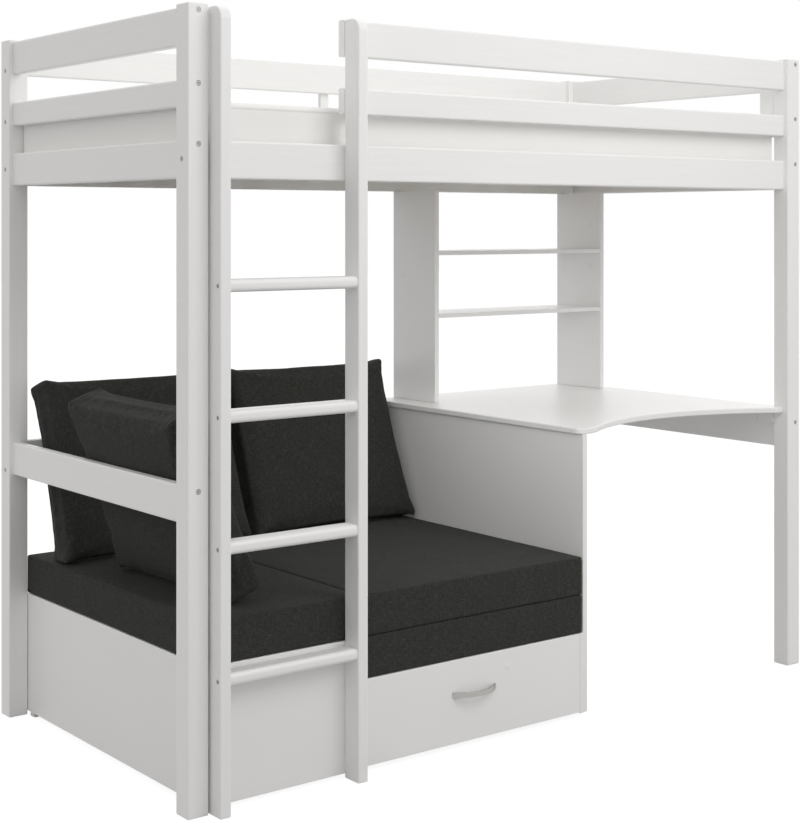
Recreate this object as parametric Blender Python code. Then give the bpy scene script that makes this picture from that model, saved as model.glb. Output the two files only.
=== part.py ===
"""White loft bed with a ladder, a desk with shelves and a sofa that pulls out into a guest bed.

Sizes are in metres. X runs along the bed from the ladder end, Y from the ladder side to the
back, Z up. Places are written from the outer corner of the front left post, and one empty
moves the whole bed so that the middle of its footprint is the origin.
"""
import math

import bmesh
import bpy
from mathutils import Vector

# Whole bed, over the posts
LENGTH = 2.093
WIDTH = 0.988
HEIGHT = 1.800
FIT = 0.0003                 # gap left where two pieces touch
RUNNING = 0.0005             # gap between sliding slats and the rails they pass
CUT_OVERRUN = 0.004          # how far a cutter stands past the face it cuts
JOINT_BITE = 0.002           # how far pieces that are joined into one run into each other

# Posts
POST = 0.053
POST_ROUND = 0.003

# Rails, all sawn from one board
RAIL_THICK = 0.024
RAIL_ROUND = 0.004
SIDE_INSET = 0.0155          # long rails stand back from the posts' outer faces
END_INSET = 0.0105           # end rails stand back from the posts' outer faces
TOP_GUARD_DROP = 0.005
TOP_GUARD_HIGH = 0.087
GUARD_GAP = 0.075
LOW_GUARD_HIGH = 0.0615
SLEEPER_GAP = 0.073          # between the low guard and the bed rail
BED_RAIL_HIGH = 0.086
MID_RAIL_LOW = 0.6445
MID_RAIL_HIGH = 0.086

# Battens that tie the two guard boards together
BATTEN_THICK = 0.015
BACK_BATTEN_WIDE = 0.030
END_BATTEN_WIDE = 0.056
BATTEN_ROUND = 0.003

# Pockets that the bolts through the posts sit in
BOLT_POCKET_RADIUS = 0.0068
BOLT_POCKET_DEEP = 0.004
BOLT_FROM_EDGE = 0.0105      # bolt centre to the rail's top or bottom edge
END_BOLT_SHIFT = 0.004       # end rail's middle to its bolt, away from the ladder end
POCKET_SIDES = 10

# Ladder
LADDER_POST_GAP = 0.0055
LADDER_OPEN = 0.348          # clear width between the stringers
STRINGER_THICK = 0.028
STRINGER_DEEP = 0.056
STRINGER_ROUND = 0.003
STRINGER_TOP_ROUND = 0.028
RUNG_FIRST = 0.3015          # floor to the middle of the first rung
RUNG_LAST_STEP = 0.033       # bed rail's top down to where one more rung would be
RUNG_COUNT = 4
RUNG_DEEP = 0.050
RUNG_HIGH = 0.029
RUNG_ROUND = 0.011
SCREW_POCKET_RADIUS = 0.0045
SCREW_POCKET_DEEP = 0.003
SCREW_FORWARD = 0.017        # from the rung's middle to its screw

# Slatted bed base and mattress
LEDGER = 0.030
BED_SLAT_COUNT = 14
BED_SLAT_WIDE = 0.070
BED_SLAT_THICK = 0.018
SLAT_ROUND = 0.003
BED_SLAT_MARGIN = 0.012      # end slat to the post
BED_SLAT_END_INSET = 0.006   # slat's end to the ledger's outer face
BED_MATTRESS_THICK = 0.130
BED_MATTRESS_CROWN = 0.004
BED_MATTRESS_ROUND = 0.012
BED_MATTRESS_SIDE_GAP = 0.0015
BED_MATTRESS_END_GAP = 0.0015

# Desk
PANEL = 0.016
PANEL_ROUND = 0.001
DESK_EDGE_ROUND = 0.003
DESK_LONG = 0.8522
DESK_OVER_RAIL = 0.0195      # mid rail's top to the desktop's underside
DESK_FRONT_INSET = 0.0175
DESK_PANEL_OVERHANG = 0.011
DESK_CORNER_ROUND = 0.022
SCOOP_RADIUS = 0.660
SCOOP_DEEP = 0.1175
SCOOP_FROM_LEFT = 0.436      # desk's left edge to the deepest point of the scoop
SCOOP_BLEND_LEFT = 0.080
SCOOP_BLEND_RIGHT = 0.020
CLEAT = 0.020
DESK_CLEAT_HIGH = 0.033
DESK_CLEAT_END_GAP = 0.060

# Shelves over the desk
SHELF_LEFT_GAP = 0.081       # desk's left edge to the shelf unit
SHELF_RIGHT_GAP = 0.0545     # shelf unit to the right end's rails
SHELF_THICK = 0.012
SHELF_DEEP = 0.208
SHELF_BACK_GAP = 0.0081      # behind the shelves, to the desk's back edge
SHELF_SHARES = (0.399, 0.695)    # undersides of the shelves, of the space from desk to bed

# Fixed sofa base
BASE_END_GAP = 0.001         # post to the base's end panel
BASE_FOOT = 0.010
BASE_TOP = 0.3237
BOX_PAST_LADDER = 0.0235     # fixed box to the right of the ladder
PULL_TOP = 0.2222            # top of the slats and of the pull-out front
SIDE_PANEL_THIN = 0.0115
GLIDE_EDGE = 0.001           # panel's face to the glide's
GLIDE_LONG = 0.024
GLIDE_ROUND = 0.004
GLIDE_FROM_END = 0.050

# Telescoping slats of the pull-out
COMB_PAIR_WIDE = 0.120       # about, for one fixed and one sliding slat with their gaps
COMB_SLAT_WIDE = 0.046
COMB_SLAT_THICK = 0.018
CROSS_RAIL_THICK = 0.020
CROSS_RAIL_HIGH = 0.045
COMB_SEAT_INSET = 0.003      # slat's edge to the edge of its seat on the cross rail
COMB_STOP_GAP = 0.0025       # left between the stops when the bed is fully out

# Pull-out front, handle and castors
PULL_SIDE_GAP = 0.003
PULL_RIGHT_GAP = 0.0005
PULL_FOOT = 0.0135
HANDLE_LEFT_OF_MIDDLE = 0.011
HANDLE_SPAN = 0.145
HANDLE_REACH = 0.030
HANDLE_BAND = 0.004
HANDLE_HIGH = 0.013
HANDLE_LEVEL = 0.1365
HANDLE_STEPS = 12
WHEEL_RADIUS = 0.025
WHEEL_WIDE = 0.018
WHEEL_SHOULDER = 0.003
WHEEL_HUB_RADIUS = 0.010
WHEEL_RIM_RADIUS = 0.020
WHEEL_WEB_SINK = 0.003
WHEEL_STEPS = 18
AXLE_RADIUS = 0.0042
AXLE_SLACK = 0.0006
AXLE_SIDES = 10
FORK_SHEET = 0.002
FORK_SIDE_GAP = 0.002
FORK_TOP = 0.085
FORK_TIP_RADIUS = 0.011
FORK_WHEEL_GAP = 0.002
CASTOR_FROM_END = 0.070

# Seat and loose cushions
SEAT_LAYER = 0.1012
SEAT_ROUND = 0.005
SEAT_CROWN = 0.003
SEAT_DRAW = 0.0015
SEAT_SEAM_GAP = 0.0015
SEAT_BACK_GAP = 0.011
SEAT_RIGHT_GAP = 0.003
CUSHION_HIGH = 0.470
CUSHION_THICK = 0.115
CUSHION_ROUND = 0.018
CUSHION_CROWN = 0.009
CUSHION_DRAW = 0.005
CUSHION_LEAN = math.radians(19)
CUSHION_GAP = 0.001
CUSHION_RIGHT_GAP = 0.012
CUSHION_LEFT_GAP = 0.016     # sofa base's left face to the left back cushion
SIDE_CUSHION_FRONT = 0.082
SIDE_CUSHION_BACK_GAP = 0.091    # side cushion to the foot of the back cushions

# Levels worked out from the sizes above
TOP_GUARD_LOW = HEIGHT - TOP_GUARD_DROP - TOP_GUARD_HIGH
LOW_GUARD_LOW = TOP_GUARD_LOW - GUARD_GAP - LOW_GUARD_HIGH
BED_RAIL_LOW = LOW_GUARD_LOW - SLEEPER_GAP - BED_RAIL_HIGH
BED_SLAT_LOW = BED_RAIL_LOW + LEDGER - JOINT_BITE
BED_MATTRESS_LOW = BED_SLAT_LOW + BED_SLAT_THICK + FIT
DESK_LOW = MID_RAIL_LOW + MID_RAIL_HIGH + DESK_OVER_RAIL
DESK_TOP = DESK_LOW + PANEL
RUNG_PITCH = (BED_RAIL_LOW + BED_RAIL_HIGH - RUNG_LAST_STEP - RUNG_FIRST) / RUNG_COUNT
SHELF_UNIT_TOP = BED_RAIL_LOW - FIT
COMB_LOW = PULL_TOP - COMB_SLAT_THICK
CROSS_RAIL_TOP = COMB_LOW - RUNNING
CROSS_RAIL_LOW = CROSS_RAIL_TOP - CROSS_RAIL_HIGH
LOWER_SEAT_LOW = PULL_TOP + FIT
UPPER_SEAT_LOW = BASE_TOP + 2 * FIT
SEAT_TOP = UPPER_SEAT_LOW + SEAT_LAYER
END_RAILS = (
    ("top_guard", TOP_GUARD_LOW, TOP_GUARD_HIGH),
    ("low_guard", LOW_GUARD_LOW, LOW_GUARD_HIGH),
    ("bed_rail", BED_RAIL_LOW, BED_RAIL_HIGH),
    ("mid_rail", MID_RAIL_LOW, MID_RAIL_HIGH),
)

# Faces and edges worked out from the sizes above
FRONT_RAIL_INNER = SIDE_INSET + RAIL_THICK
BACK_RAIL_INNER = WIDTH - SIDE_INSET - RAIL_THICK
BACK_RAIL_OUTER = WIDTH - SIDE_INSET
LEFT_RAIL_INNER = END_INSET + RAIL_THICK
RIGHT_RAIL_INNER = LENGTH - END_INSET - RAIL_THICK
RIGHT_BATTEN_FACE = RIGHT_RAIL_INNER - FIT - BATTEN_THICK
RIGHT_POST_FACE = LENGTH - POST
BACK_POST_FACE = WIDTH - POST
LADDER_BACK = SIDE_INSET - FIT
LADDER_FRONT = LADDER_BACK - STRINGER_DEEP
LEFT_STRINGER = POST + LADDER_POST_GAP
RIGHT_STRINGER = LEFT_STRINGER + STRINGER_THICK + LADDER_OPEN
DESK_LEFT = RIGHT_RAIL_INNER - FIT - DESK_LONG
DESK_PANEL_LEFT = DESK_LEFT + DESK_PANEL_OVERHANG
SHELF_UNIT_LEFT = DESK_LEFT + SHELF_LEFT_GAP
SHELF_UNIT_RIGHT = RIGHT_RAIL_INNER - SHELF_RIGHT_GAP
BASE_LEFT = POST + BASE_END_GAP
BASE_RIGHT = DESK_PANEL_LEFT - FIT
BOX_RIGHT = RIGHT_STRINGER + STRINGER_THICK + BOX_PAST_LADDER
BAY_LEFT = BOX_RIGHT + FIT
BAY_RIGHT = BASE_RIGHT - SIDE_PANEL_THIN - FIT
BASE_FRONT = SIDE_INSET
BASE_PANEL_BACK = BACK_RAIL_OUTER - PANEL
BEHIND_FRONT = BASE_FRONT + PANEL + FIT
SLIDE_RAIL_BACK = BASE_PANEL_BACK - 2 * FIT - 2 * CROSS_RAIL_THICK
CROSS_RAIL_FRONT = BEHIND_FRONT + CROSS_RAIL_THICK + 2 * FIT
TRAVEL = SLIDE_RAIL_BACK - CROSS_RAIL_FRONT - CROSS_RAIL_THICK - COMB_STOP_GAP
COMB_PAIRS = round((BAY_RIGHT - BAY_LEFT) / COMB_PAIR_WIDE)
PULL_LEFT = BOX_RIGHT + PULL_SIDE_GAP
PULL_RIGHT = BAY_RIGHT + FIT - PULL_RIGHT_GAP
HANDLE_CENTRE = (PULL_LEFT + PULL_RIGHT) / 2 - HANDLE_LEFT_OF_MIDDLE
CUSHION_ROOM = BASE_RIGHT - CUSHION_RIGHT_GAP - BASE_LEFT - CUSHION_LEFT_GAP
CUSHION_WIDE = (CUSHION_ROOM - CUSHION_GAP) / 2
ORIGIN = Vector((LENGTH / 2, (LADDER_FRONT + WIDTH) / 2, 0))

# Colours as sRGB hex, roughness, metallic
FINISHES = {
    "painted_wood": ("F2F2EF", 0.42, 0.0),
    "white_panel": ("EFEFED", 0.38, 0.0),
    "pine": ("D8B583", 0.55, 0.0),
    "mattress_cover": ("F1F1EE", 0.85, 0.0),
    "anthracite_fabric": ("34363A", 0.90, 0.0),
    "nickel": ("B8B6B1", 0.30, 1.0),
    "zinc": ("A9ABAC", 0.40, 1.0),
    "grey_plastic": ("55575A", 0.50, 0.0),
}

# Which axes a prism's outline lies in, and which it runs along
PRISM_AXES = {"X": (1, 2, 0), "Y": (0, 2, 1), "Z": (0, 1, 2)}


def clear_scene():
    for obj in list(bpy.data.objects):
        bpy.data.objects.remove(obj)


def linear(hex_pair):
    value = int(hex_pair, 16) / 255
    return value / 12.92 if value <= 0.04045 else ((value + 0.055) / 1.055) ** 2.4


def make_material(name, finish):
    code, roughness, metallic = FINISHES[finish]
    material = bpy.data.materials.new(name)
    material.use_nodes = True
    shader = material.node_tree.nodes["Principled BSDF"]
    colour = [linear(code[i:i + 2]) for i in (0, 2, 4)]
    shader.inputs["Base Color"].default_value = (*colour, 1)
    shader.inputs["Roughness"].default_value = roughness
    shader.inputs["Metallic"].default_value = metallic
    return material


def make_empty(name, place, parent=None):
    empty = bpy.data.objects.new(name, None)
    empty.location = Vector(place)
    empty.parent = parent
    bpy.context.collection.objects.link(empty)
    return empty


# Shapes that are added to a mesh being built

def rectangle(low, high):
    return [low, (high[0], low[1]), high, (low[0], high[1])]


def arc(centre, radius, start, end, steps):
    """Points on a circle from one angle in degrees to another, both ends included."""
    points = []
    for step in range(steps + 1):
        angle = math.radians(start + (end - start) * step / steps)
        points.append((centre[0] + radius * math.cos(angle), centre[1] + radius * math.sin(angle)))
    return points


def rounded_rectangle(low, high, radius, steps=2):
    corners = (
        ((high[0] - radius, high[1] - radius), 0),
        ((low[0] + radius, high[1] - radius), 90),
        ((low[0] + radius, low[1] + radius), 180),
        ((high[0] - radius, low[1] + radius), 270),
    )
    points = []
    for centre, start in corners:
        points += arc(centre, radius, start, start + 90, steps)
    return points


def regular(centre, radius, sides):
    return arc(centre, radius, 90 / sides, 90 / sides + 360, sides)[:-1]


def add_prism(bm, outline, axis, start, end):
    across, up, along = PRISM_AXES[axis]
    rings = []
    for level in (start, end):
        ring = []
        for first, second in outline:
            point = [0, 0, 0]
            point[across] = first
            point[up] = second
            point[along] = level
            ring.append(bm.verts.new(point))
        rings.append(ring)
    low, high = rings
    bm.faces.new(list(reversed(low)))
    bm.faces.new(high)
    for i in range(len(outline)):
        j = (i + 1) % len(outline)
        bm.faces.new((low[i], low[j], high[j], high[i]))


def add_bar(bm, low, high, along, radius=0, steps=2):
    """A bar between two corners, its four long edges rounded."""
    across, up, run = PRISM_AXES[along]
    first = (low[across], low[up])
    second = (high[across], high[up])
    outline = rectangle(first, second)
    if radius:
        outline = rounded_rectangle(first, second, radius, steps)
    add_prism(bm, outline, along, low[run], high[run])


def add_turned(bm, profile, centre, steps):
    """A closed profile of (along X, radius) points, turned about the X axis through centre."""
    rings = []
    for step in range(steps):
        angle = 2 * math.pi * step / steps - math.pi / 2
        ring = []
        for along, radius in profile:
            spoke = Vector((along, radius * math.cos(angle), radius * math.sin(angle)))
            ring.append(bm.verts.new(Vector(centre) + spoke))
        rings.append(ring)
    for step in range(steps):
        ring = rings[step]
        after = rings[(step + 1) % steps]
        for i in range(len(profile)):
            j = (i + 1) % len(profile)
            bm.faces.new((ring[i], ring[j], after[j], after[i]))


# Making objects from meshes

def to_object(name, bm, finish, parent, centre=None, smooth=False):
    """Turn a mesh in bed places into an object whose origin is its own middle, or centre."""
    bmesh.ops.recalc_face_normals(bm, faces=bm.faces)
    if centre is None:
        lows = Vector([min(v.co[i] for v in bm.verts) for i in range(3)])
        highs = Vector([max(v.co[i] for v in bm.verts) for i in range(3)])
        centre = (lows + highs) / 2
    centre = Vector(centre)
    bmesh.ops.translate(bm, verts=bm.verts, vec=-centre)
    mesh = bpy.data.meshes.new(name)
    bm.to_mesh(mesh)
    bm.free()
    if smooth:
        mesh.shade_smooth()
        mesh.set_sharp_from_angle(angle=math.radians(40))
    obj = bpy.data.objects.new(name, mesh)
    obj.data.materials.append(make_material(name, finish))
    bpy.context.collection.objects.link(obj)
    parent_place = Vector((0, 0, 0))
    if parent.parent is not None:
        parent_place = Vector(parent.location)
    obj.parent = parent
    obj.location = centre - parent_place
    return obj


def board(name, low, high, along, finish, parent, radius=RAIL_ROUND):
    bm = bmesh.new()
    add_bar(bm, low, high, along, radius)
    return to_object(name, bm, finish, parent)


def panel(name, low, high, finish, parent):
    """A flat panel with its edges just broken."""
    bm = bmesh.new()
    add_bar(bm, low, high, "Z")
    obj = to_object(name, bm, finish, parent)
    break_edges(obj, PANEL_ROUND, 1)
    return obj


def break_edges(obj, width, segments):
    bevel = obj.modifiers.new("edges", "BEVEL")
    bevel.width = width
    bevel.segments = segments
    bevel.limit_method = "ANGLE"
    bevel.angle_limit = math.radians(60)


def combine(obj, bm, operation, parent):
    """Cut a mesh in bed places out of an object, or join it on."""
    helper = to_object(f"{obj.name}_{operation.lower()}", bm, "grey_plastic", parent)
    helper.hide_render = True
    helper.display_type = "WIRE"
    boolean = obj.modifiers.new(operation.lower(), "BOOLEAN")
    boolean.operation = operation
    boolean.object = helper


def stations(half, radius, cells):
    """Grid lines over one side of a padded slab: even over the flat, two in each rounding."""
    flat = half - radius
    turn = flat + radius * math.tan(math.radians(22.5))
    inner = [-flat + 2 * flat * i / cells for i in range(cells + 1)]
    return [-half, -turn] + inner + [turn, half]


def padded_slab(size, radius, cells, crown=0, crown_under=0, draw=0, draw_under=0, plateau=2):
    """A padded slab about the origin: rounded edges, a crown, and sides drawn in between corners.

    The crown keeps its height over more of the slab where plateau is larger.
    """
    half = [side / 2 for side in size]
    lines = [stations(half[i], radius, cells[i]) for i in range(3)]
    bm = bmesh.new()
    verts = {}

    def vertex(key):
        if key in verts:
            return verts[key]
        point = Vector([lines[i][key[i]] for i in range(3)])
        core = Vector([max(-half[i] + radius, min(half[i] - radius, point[i])) for i in range(3)])
        point = core + (point - core).normalized() * radius
        share = [point[i] / half[i] for i in range(3)]
        across = 1 - share[0] ** 2
        up = 1 - share[1] ** 2
        rise = (1 - abs(share[0]) ** plateau) * (1 - abs(share[1]) ** plateau)
        point[2] += (crown if share[2] > 0 else crown_under) * share[2] * rise
        point[0] -= draw * share[0] * up
        point[1] -= (draw if share[1] > 0 else draw_under) * share[1] * across
        verts[key] = bm.verts.new(point)
        return verts[key]

    counts = [len(line) - 1 for line in lines]
    for fixed in range(3):
        first, second = [axis for axis in range(3) if axis != fixed]
        for end in (0, counts[fixed]):
            for i in range(counts[first]):
                for j in range(counts[second]):
                    corners = []
                    for step_i, step_j in ((0, 0), (1, 0), (1, 1), (0, 1)):
                        key = [0, 0, 0]
                        key[fixed] = end
                        key[first] = i + step_i
                        key[second] = j + step_j
                        corners.append(vertex(tuple(key)))
                    bm.faces.new(corners)
    return bm


def padded(name, size, place, finish, parent, turn=(0, 0, 0), **shape):
    obj = to_object(name, padded_slab(size, **shape), finish, parent, (0, 0, 0), smooth=True)
    obj.location = Vector(place)
    obj.rotation_euler = turn
    return obj


# Frame

def make_posts(bed):
    posts = {}
    for side, left in (("left", 0), ("right", LENGTH - POST)):
        for face, front in (("front", 0), ("back", WIDTH - POST)):
            name = f"post_{face}_{side}"
            bm = bmesh.new()
            add_bar(bm, (left, front, 0), (left + POST, front + POST, HEIGHT), "Z")
            posts[face, side] = to_object(name, bm, "painted_wood", bed)
            break_edges(posts[face, side], POST_ROUND, 2)
    return posts


def make_end_rails(bed):
    for side, outer in (("left", END_INSET), ("right", LENGTH - END_INSET - RAIL_THICK)):
        for kind, low, high in END_RAILS:
            start = (outer, POST + FIT, low)
            end = (outer + RAIL_THICK, BACK_POST_FACE - FIT, low + high)
            board(f"{side}_{kind}", start, end, "Y", "painted_wood", bed)


def make_side_rails(bed):
    for kind, low, high in END_RAILS:
        start = (POST + FIT, BACK_RAIL_INNER, low)
        end = (RIGHT_POST_FACE - FIT, BACK_RAIL_OUTER, low + high)
        board(f"back_{kind}", start, end, "X", "painted_wood", bed)
    for kind, low, high in END_RAILS[:3]:
        left = POST + FIT if kind == "bed_rail" else RIGHT_STRINGER
        start = (left, SIDE_INSET, low)
        end = (RIGHT_POST_FACE - FIT, FRONT_RAIL_INNER, low + high)
        board(f"front_{kind}", start, end, "X", "painted_wood", bed)


def make_guard_battens(bed):
    """Short uprights that tie the guard boards: one mid-back outside, one inside the right end."""
    top = TOP_GUARD_LOW + TOP_GUARD_HIGH
    outer = BACK_RAIL_OUTER + FIT
    low = (LENGTH / 2 - BACK_BATTEN_WIDE / 2, outer, LOW_GUARD_LOW)
    high = (LENGTH / 2 + BACK_BATTEN_WIDE / 2, outer + BATTEN_THICK, top)
    board("back_guard_batten", low, high, "Z", "painted_wood", bed, BATTEN_ROUND)
    low = (RIGHT_BATTEN_FACE, POST + FIT, LOW_GUARD_LOW)
    high = (RIGHT_RAIL_INNER - FIT, POST + FIT + END_BATTEN_WIDE, top)
    board("right_guard_batten", low, high, "Z", "painted_wood", bed, BATTEN_ROUND)


def make_bed_base(bed):
    """Slats let into a ledger along each long rail, and the mattress on them."""
    front = FRONT_RAIL_INNER + FIT
    back = BACK_RAIL_INNER - FIT
    slats = bmesh.new()
    first = POST + BED_SLAT_MARGIN
    last = RIGHT_POST_FACE - BED_SLAT_MARGIN - BED_SLAT_WIDE
    for i in range(BED_SLAT_COUNT):
        left = first + (last - first) * i / (BED_SLAT_COUNT - 1)
        low = (left, front + BED_SLAT_END_INSET, BED_SLAT_LOW)
        high = (left + BED_SLAT_WIDE, back - BED_SLAT_END_INSET, BED_SLAT_LOW + BED_SLAT_THICK)
        add_bar(slats, low, high, "Y", SLAT_ROUND, 1)
    base = to_object("slatted_bed_base", slats, "pine", bed)
    ledgers = bmesh.new()
    for start in (front, back - LEDGER):
        low = (POST + FIT, start, BED_RAIL_LOW)
        high = (RIGHT_POST_FACE - FIT, start + LEDGER, BED_RAIL_LOW + LEDGER)
        add_bar(ledgers, low, high, "X", SLAT_ROUND, 1)
    combine(base, ledgers, "UNION", bed)

    left = LEFT_RAIL_INNER + BED_MATTRESS_END_GAP
    right = RIGHT_BATTEN_FACE - BED_MATTRESS_END_GAP
    width = BACK_POST_FACE - POST - 2 * BED_MATTRESS_SIDE_GAP
    middle = ((left + right) / 2, WIDTH / 2, BED_MATTRESS_LOW + BED_MATTRESS_THICK / 2)
    padded("bed_mattress", (right - left, width, BED_MATTRESS_THICK), middle, "mattress_cover", bed,
           radius=BED_MATTRESS_ROUND, cells=(10, 6, 2), crown=BED_MATTRESS_CROWN, plateau=8)


# Ladder

def rung_level(i):
    return RUNG_FIRST + i * RUNG_PITCH


def make_ladder(bed):
    top = TOP_GUARD_LOW + TOP_GUARD_HIGH
    stringers = []
    for side, left in (("left", LEFT_STRINGER), ("right", RIGHT_STRINGER)):
        centre = (LADDER_FRONT + STRINGER_TOP_ROUND, top - STRINGER_TOP_ROUND)
        outline = arc(centre, STRINGER_TOP_ROUND, 90, 180, 5)
        outline += [(LADDER_FRONT, 0), (LADDER_BACK, 0), (LADDER_BACK, top)]
        bm = bmesh.new()
        add_prism(bm, outline, "X", left, left + STRINGER_THICK)
        stringer = to_object(f"ladder_stringer_{side}", bm, "painted_wood", bed)
        break_edges(stringer, STRINGER_ROUND, 2)
        stringers.append(stringer)

    middle = (LADDER_FRONT + LADDER_BACK) / 2
    for i in range(RUNG_COUNT):
        low = (middle - RUNG_DEEP / 2, rung_level(i) - RUNG_HIGH / 2)
        high = (middle + RUNG_DEEP / 2, rung_level(i) + RUNG_HIGH / 2)
        bm = bmesh.new()
        outline = rounded_rectangle(low, high, RUNG_ROUND, 4)
        add_prism(bm, outline, "X", LEFT_STRINGER + STRINGER_THICK + FIT, RIGHT_STRINGER - FIT)
        to_object(f"ladder_rung_{i + 1}", bm, "painted_wood", bed, smooth=True)
    return stringers


# Pockets for the bolts and screws

def end_bolt_sites():
    """Bolts into the end rails' ends: post, place on the post's Y face, and the way it faces."""
    for side, across in (("left", END_INSET), ("right", LENGTH - END_INSET - RAIL_THICK)):
        for face, level, way in (("front", 0, -1), ("back", WIDTH, 1)):
            for _, low, high in END_RAILS:
                middle = across + RAIL_THICK / 2 + END_BOLT_SHIFT
                place = (middle, level, low + high - BOLT_FROM_EDGE)
                yield (face, side), place, "Y", way


def side_bolt_sites():
    """Bolts into the long rails' ends, low on the boards to pass under the end rails' bolts."""
    for side, level, way in (("left", 0, -1), ("right", LENGTH, 1)):
        for face, across in (("front", SIDE_INSET), ("back", WIDTH - SIDE_INSET - RAIL_THICK)):
            for kind, low, high in END_RAILS:
                if face == "front" and kind == "mid_rail":
                    continue
                if face == "front" and side == "left" and kind != "bed_rail":
                    continue
                up = low + high / 2 if kind == "bed_rail" else low + BOLT_FROM_EDGE
                yield (face, side), (level, across + RAIL_THICK / 2, up), "X", way


def add_pocket(bm, place, axis, way, radius, deep):
    """A round plug that cuts a pocket of one depth into a face."""
    across, up, along = PRISM_AXES[axis]
    outline = regular((place[across], place[up]), radius, POCKET_SIDES)
    add_prism(bm, outline, axis, place[along] - way * deep, place[along] + way * CUT_OVERRUN)


def make_bolt_pockets(bed, posts):
    pockets = {key: bmesh.new() for key in posts}
    for key, place, axis, way in [*end_bolt_sites(), *side_bolt_sites()]:
        add_pocket(pockets[key], place, axis, way, BOLT_POCKET_RADIUS, BOLT_POCKET_DEEP)
    for key, post in posts.items():
        combine(post, pockets[key], "DIFFERENCE", bed)


def make_screw_pockets(bed, stringers):
    middle = (LADDER_FRONT + LADDER_BACK) / 2
    faces = ((LEFT_STRINGER, -1), (RIGHT_STRINGER + STRINGER_THICK, 1))
    for stringer, (face, way) in zip(stringers, faces):
        pockets = bmesh.new()
        for i in range(RUNG_COUNT):
            place = (face, middle - SCREW_FORWARD, rung_level(i))
            add_pocket(pockets, place, "X", way, SCREW_POCKET_RADIUS, SCREW_POCKET_DEEP)
        combine(stringer, pockets, "DIFFERENCE", bed)


# Desk and shelves

def desk_outline():
    """The desktop seen from above: a rounded corner, a scooped front and a notch at each post."""
    front = DESK_FRONT_INSET
    back = BACK_RAIL_INNER - FIT
    right = RIGHT_RAIL_INNER - FIT
    notch = RIGHT_POST_FACE - FIT
    scoop_x = DESK_LEFT + SCOOP_FROM_LEFT
    scoop_y = front + SCOOP_DEEP - SCOOP_RADIUS

    def blend(radius, way):
        """Centre of the round between the straight front and the scoop, and its half turn."""
        reach = math.sqrt(2 * (SCOOP_RADIUS + radius) * SCOOP_DEEP - SCOOP_DEEP ** 2)
        rise = SCOOP_RADIUS + radius - SCOOP_DEEP
        return (scoop_x + way * reach, front + radius), math.degrees(math.atan2(reach, rise))

    left_round, left_turn = blend(SCOOP_BLEND_LEFT, -1)
    right_round, right_turn = blend(SCOOP_BLEND_RIGHT, 1)
    corner = (DESK_LEFT + DESK_CORNER_ROUND, front + DESK_CORNER_ROUND)
    points = arc(corner, DESK_CORNER_ROUND, 180, 270, 4)
    points += arc(left_round, SCOOP_BLEND_LEFT, 270, 270 + left_turn, 4)
    points += arc((scoop_x, scoop_y), SCOOP_RADIUS, 90 + left_turn, 90 - right_turn, 16)[1:-1]
    points += arc(right_round, SCOOP_BLEND_RIGHT, 270 - right_turn, 270, 3)
    points += [(notch, front), (notch, POST + FIT), (right, POST + FIT)]
    points += [(right, BACK_POST_FACE - FIT), (notch, BACK_POST_FACE - FIT), (notch, back)]
    points += [(DESK_LEFT, back)]
    return points


def make_desk(bed):
    bm = bmesh.new()
    add_prism(bm, desk_outline(), "Z", DESK_LOW, DESK_TOP)
    top = to_object("desktop", bm, "white_panel", bed)
    break_edges(top, DESK_EDGE_ROUND, 2)
    low = (DESK_PANEL_LEFT, DESK_FRONT_INSET, BASE_FOOT)
    high = (DESK_PANEL_LEFT + PANEL, BACK_RAIL_INNER - FIT, DESK_LOW - FIT)
    side = panel("desk_side_panel", low, high, "white_panel", bed)
    add_glides(side, low, high, bed)


def make_shelves(bed):
    front = BACK_RAIL_INNER - SHELF_BACK_GAP - SHELF_DEEP
    back = front + SHELF_DEEP
    for side, left in (("left", SHELF_UNIT_LEFT), ("right", SHELF_UNIT_RIGHT - PANEL)):
        low = (left, front, DESK_TOP + FIT)
        high = (left + PANEL, back, SHELF_UNIT_TOP)
        panel(f"shelf_{side}_panel", low, high, "white_panel", bed)
    for i, share in enumerate(SHELF_SHARES):
        level = DESK_TOP + (SHELF_UNIT_TOP - DESK_TOP) * share
        low = (SHELF_UNIT_LEFT + PANEL + FIT, front, level)
        high = (SHELF_UNIT_RIGHT - PANEL - FIT, back, level + SHELF_THICK)
        panel(f"shelf_{i + 1}", low, high, "white_panel", bed)


def make_desk_cleat(bed):
    """An angled strip, along the right rail and the back rail, that the desktop lies on."""
    top = DESK_LOW - FIT
    right = RIGHT_RAIL_INNER - FIT
    low = (right - CLEAT, POST + DESK_CLEAT_END_GAP, top - DESK_CLEAT_HIGH)
    high = (right, BACK_POST_FACE - FIT, top)
    cleat = board("desk_cleat", low, high, "Y", "pine", bed, 0)
    back = BACK_RAIL_INNER - FIT
    low = (DESK_PANEL_LEFT + PANEL + FIT, back - CLEAT, top - DESK_CLEAT_HIGH)
    high = (RIGHT_POST_FACE - FIT, back, top)
    arm = bmesh.new()
    add_bar(arm, low, high, "X")
    combine(cleat, arm, "UNION", bed)


# Sofa base

def add_glides(obj, low, high, bed):
    """A small foot under each end of an upright panel, which keeps its edge off the floor."""
    feet = bmesh.new()
    for front in (low[1] + GLIDE_FROM_END, high[1] - GLIDE_FROM_END - GLIDE_LONG):
        first = (low[0] + GLIDE_EDGE, front)
        second = (high[0] - GLIDE_EDGE, front + GLIDE_LONG)
        outline = rounded_rectangle(first, second, GLIDE_ROUND)
        add_prism(feet, outline, "Z", 0, low[2] + JOINT_BITE)
    combine(obj, feet, "UNION", bed)


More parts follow.
